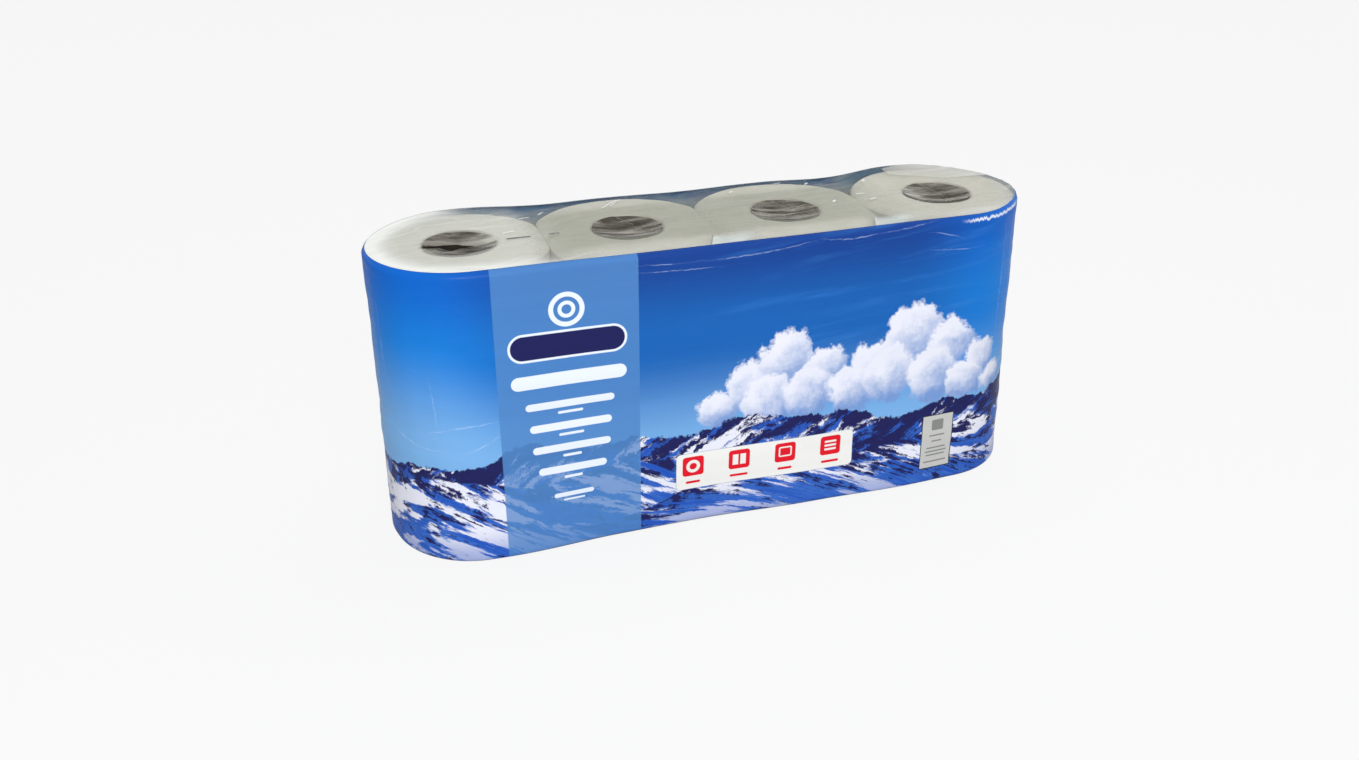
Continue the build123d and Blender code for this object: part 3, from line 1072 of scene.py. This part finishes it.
class ROLLPACK_OT_tissue_rolls(PackOperator, bpy.types.Operator):
    """Makes the wound rolls, each pressed by its neighbours and by the wrapper"""

    bl_idname = "rollpack.tissue_rolls"
    bl_label = "Tissue Rolls"

    def execute(self, context):
        look = context.scene.roll_pack.rolls
        tissue = tissue_paper()
        tree = None
        for number, stack in enumerate(STACKS):
            core = core_middles[number]
            for layer, level in enumerate(LAYERS):
                node = f"tissue_roll_{level}_{stack}"
                low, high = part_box(node)
                first, last = stack == STACKS[0], stack == STACKS[-1]
                wrap_y = lean if first or last else -lean
                sizes = {
                    "Core X": core.x, "Core Y": core.y, "Middle height": (low.z + high.z) / 2,
                    "Width": high.z - low.z, "Free radius": look.free_radius, "Bore radius": core_radius + WIND_GAP,
                    "Rim": 0.003, "Left": FAR if first else core.x - low.x, "Right": FAR if last else high.x - core.x,
                    "Front": core.y - low.y, "Back": high.y - core.y, "Wrap radius": wrap_radius - FILM_CLEARANCE,
                    "Wrap shift": wrap_y - core.y, "Inner stack": 0.0 if first or last else FAR,
                    "Shoulder": look.shoulder, "Turn spacing": look.turn_gap, "Turn relief": look.turn_relief,
                    "Steps round": 144, "Seed": 4 * layer + number, "Tissue": tissue,
                }
                tree = tree or wound_roll_tree(sizes)
                piece = grow(f"wound_roll_{level}_{stack}", tree, sizes)
                tuck_in(piece)
                settle(piece, node)
        return {"FINISHED"}


class ROLLPACK_OT_card_cores(PackOperator, bpy.types.Operator):
    """Makes the spiral-wound card cores"""

    bl_idname = "rollpack.card_cores"
    bl_label = "Card Cores"

    def execute(self, context):
        look = context.scene.roll_pack.rolls
        card = core_card()
        tree = None
        for stack in STACKS:
            for level in LAYERS:
                node = f"card_core_{level}_{stack}"
                low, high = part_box(node)
                sizes = {
                    "Core X": (low.x + high.x) / 2, "Core Y": (low.y + high.y) / 2,
                    "Middle height": (low.z + high.z) / 2, "Width": high.z - low.z, "Radius": core_radius,
                    "Lead": look.card_lead, "Steps round": 260, "Card": card,
                }
                tree = tree or card_core_tree(sizes)
                piece = grow(f"spiral_core_{level}_{stack}", tree, sizes)
                wall = piece.modifiers.new("card wall", "SOLIDIFY")
                wall.thickness = look.card_wall
                wall.offset = -1
                settle(piece, node)
        return {"FINISHED"}


class ROLLPACK_OT_film_wrapper(PackOperator, bpy.types.Operator):
    """Makes the wrapper: its printed side and its clear top and bottom, with the torn perforation"""

    bl_idname = "rollpack.film_wrapper"
    bl_label = "Film Wrapper"

    def execute(self, context):
        film = context.scene.roll_pack.film
        points, around, length, first_print, last_print = film_surface(film)
        clear = clear_film()
        clear_pair = [clear, clear_film_inside()]
        bands = (
            ("clear_film_bottom", slice(None, first_print + 1), clear_pair),
            ("printed_film_side", slice(first_print, last_print + 1), [printed_film(), film_inside()]),
            ("clear_film_top", slice(last_print, None), clear_pair),
        )
        for name, rows, materials in bands:
            piece = grid_object(name, points[rows], around, length[rows], materials)
            thicken(piece, film.thickness)
            settle(piece, "film_wrapper")
        return {"FINISHED"}


class ROLLPACK_OT_stage(PackOperator, bpy.types.Operator):
    """Sets the floor, the lights, the world and the camera"""

    bl_idname = "rollpack.stage"
    bl_label = "Stage"

    def execute(self, context):
        look = context.scene.roll_pack.stage
        self.floor(context)
        self.lamp(context, "key light", look.key_power, 0.8, (-0.30, -1.45, 0.80))
        self.lamp(context, "top light", look.top_power, 0.9, (0.35, 0.25, 1.3))
        self.world(context, look)
        self.camera(context, look)
        context.scene.view_settings.view_transform = "Standard"
        return {"FINISHED"}

    def floor(self, context):
        mesh = bpy.data.meshes.new("floor")
        half = 6.0
        mesh.from_pydata([(-half, -half, 0), (half, -half, 0), (half, half, 0), (-half, half, 0)], [], [(0, 1, 2, 3)])
        material, graph, surface = new_material("white floor")
        seen = graph.add("ShaderNodeLightPath", output="Is Camera Ray")
        matt = graph.add("ShaderNodeBsdfDiffuse", None, {"Color": (0.6, 0.6, 0.6)})
        bright = graph.add("ShaderNodeEmission", None, {"Color": (1.0, 1.0, 1.0), "Strength": 1.0})
        mixed = graph.add("ShaderNodeMixShader", None, {0: seen * 0.88, 1: matt, 2: bright})
        graph.tree.links.new(mixed.socket, surface)
        mesh.materials.append(material)
        floor = bpy.data.objects.new("floor", mesh)
        floor.location.z = -0.0003
        context.scene.collection.objects.link(floor)

    def lamp(self, context, name, power, size, place):
        light = bpy.data.lights.new(name, "AREA")
        light.energy = power
        light.size = size
        lamp = bpy.data.objects.new(name, light)
        lamp.location = place
        aim = Vector((0, 0, wrap_high.z / 2)) - lamp.location
        lamp.rotation_euler = aim.to_track_quat("-Z", "Y").to_euler()
        context.scene.collection.objects.link(lamp)

    def world(self, context, look):
        world = bpy.data.worlds.new("studio")
        world.use_nodes = True
        world.node_tree.nodes.clear()
        graph = Graph(world.node_tree)
        path = graph.node("ShaderNodeLightPath")
        seen = Term(graph, path.outputs["Is Camera Ray"]).math("MAXIMUM", Term(graph, path.outputs["Is Glossy Ray"]))
        seen = seen.math("MAXIMUM", Term(graph, path.outputs["Is Transmission Ray"]))
        strength = seen * (1.0 - look.world_strength) + look.world_strength
        light = graph.add("ShaderNodeBackground", None, {"Color": (1.0, 1.0, 1.0), "Strength": strength})
        out = graph.node("ShaderNodeOutputWorld")
        graph.tree.links.new(light.socket, out.inputs["Surface"])
        context.scene.world = world

    def camera(self, context, look):
        data = bpy.data.cameras.new("camera")
        data.lens = look.lens
        data.sensor_width = 36.0
        camera = bpy.data.objects.new("camera", data)
        camera.location = look.camera_place
        level = math.cos(look.camera_tilt)
        aim = Vector((
            math.sin(look.camera_turn) * level, math.cos(look.camera_turn) * level, -math.sin(look.camera_tilt),
        ))
        camera.rotation_euler = aim.to_track_quat("-Z", "Y").to_euler()
        context.scene.collection.objects.link(camera)
        context.scene.camera = camera


class ROLLPACK_PT_sidebar(bpy.types.Panel):
    """Lists the pack's pieces and settings"""

    bl_label = "Roll Pack"
    bl_space_type = "VIEW_3D"
    bl_region_type = "UI"
    bl_category = "Roll Pack"

    def draw(self, context):
        for operator in OPERATORS:
            self.layout.operator(operator.bl_idname)
        pack = context.scene.roll_pack
        for group in (pack.rolls, pack.film, pack.artwork, pack.stage):
            box = self.layout.box()
            for name in group.__annotations__:
                box.prop(group, name)


OPERATORS = (ROLLPACK_OT_stage, ROLLPACK_OT_tissue_rolls, ROLLPACK_OT_card_cores, ROLLPACK_OT_film_wrapper)
CLASSES = (RollSettings, FilmSettings, PrintSettings, StageSettings, PackSettings, *OPERATORS, ROLLPACK_PT_sidebar)


def register():
    for item in CLASSES:
        bpy.utils.register_class(item)
    bpy.types.Scene.roll_pack = PointerProperty(type=PackSettings)


def unregister():
    del bpy.types.Scene.roll_pack
    for item in reversed(CLASSES):
        bpy.utils.unregister_class(item)


def main():
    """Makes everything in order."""
    register()
    for operator in OPERATORS:
        group, name = operator.bl_idname.split(".")
        getattr(getattr(bpy.ops, group), name)()


if __name__ == "__main__":
    main()
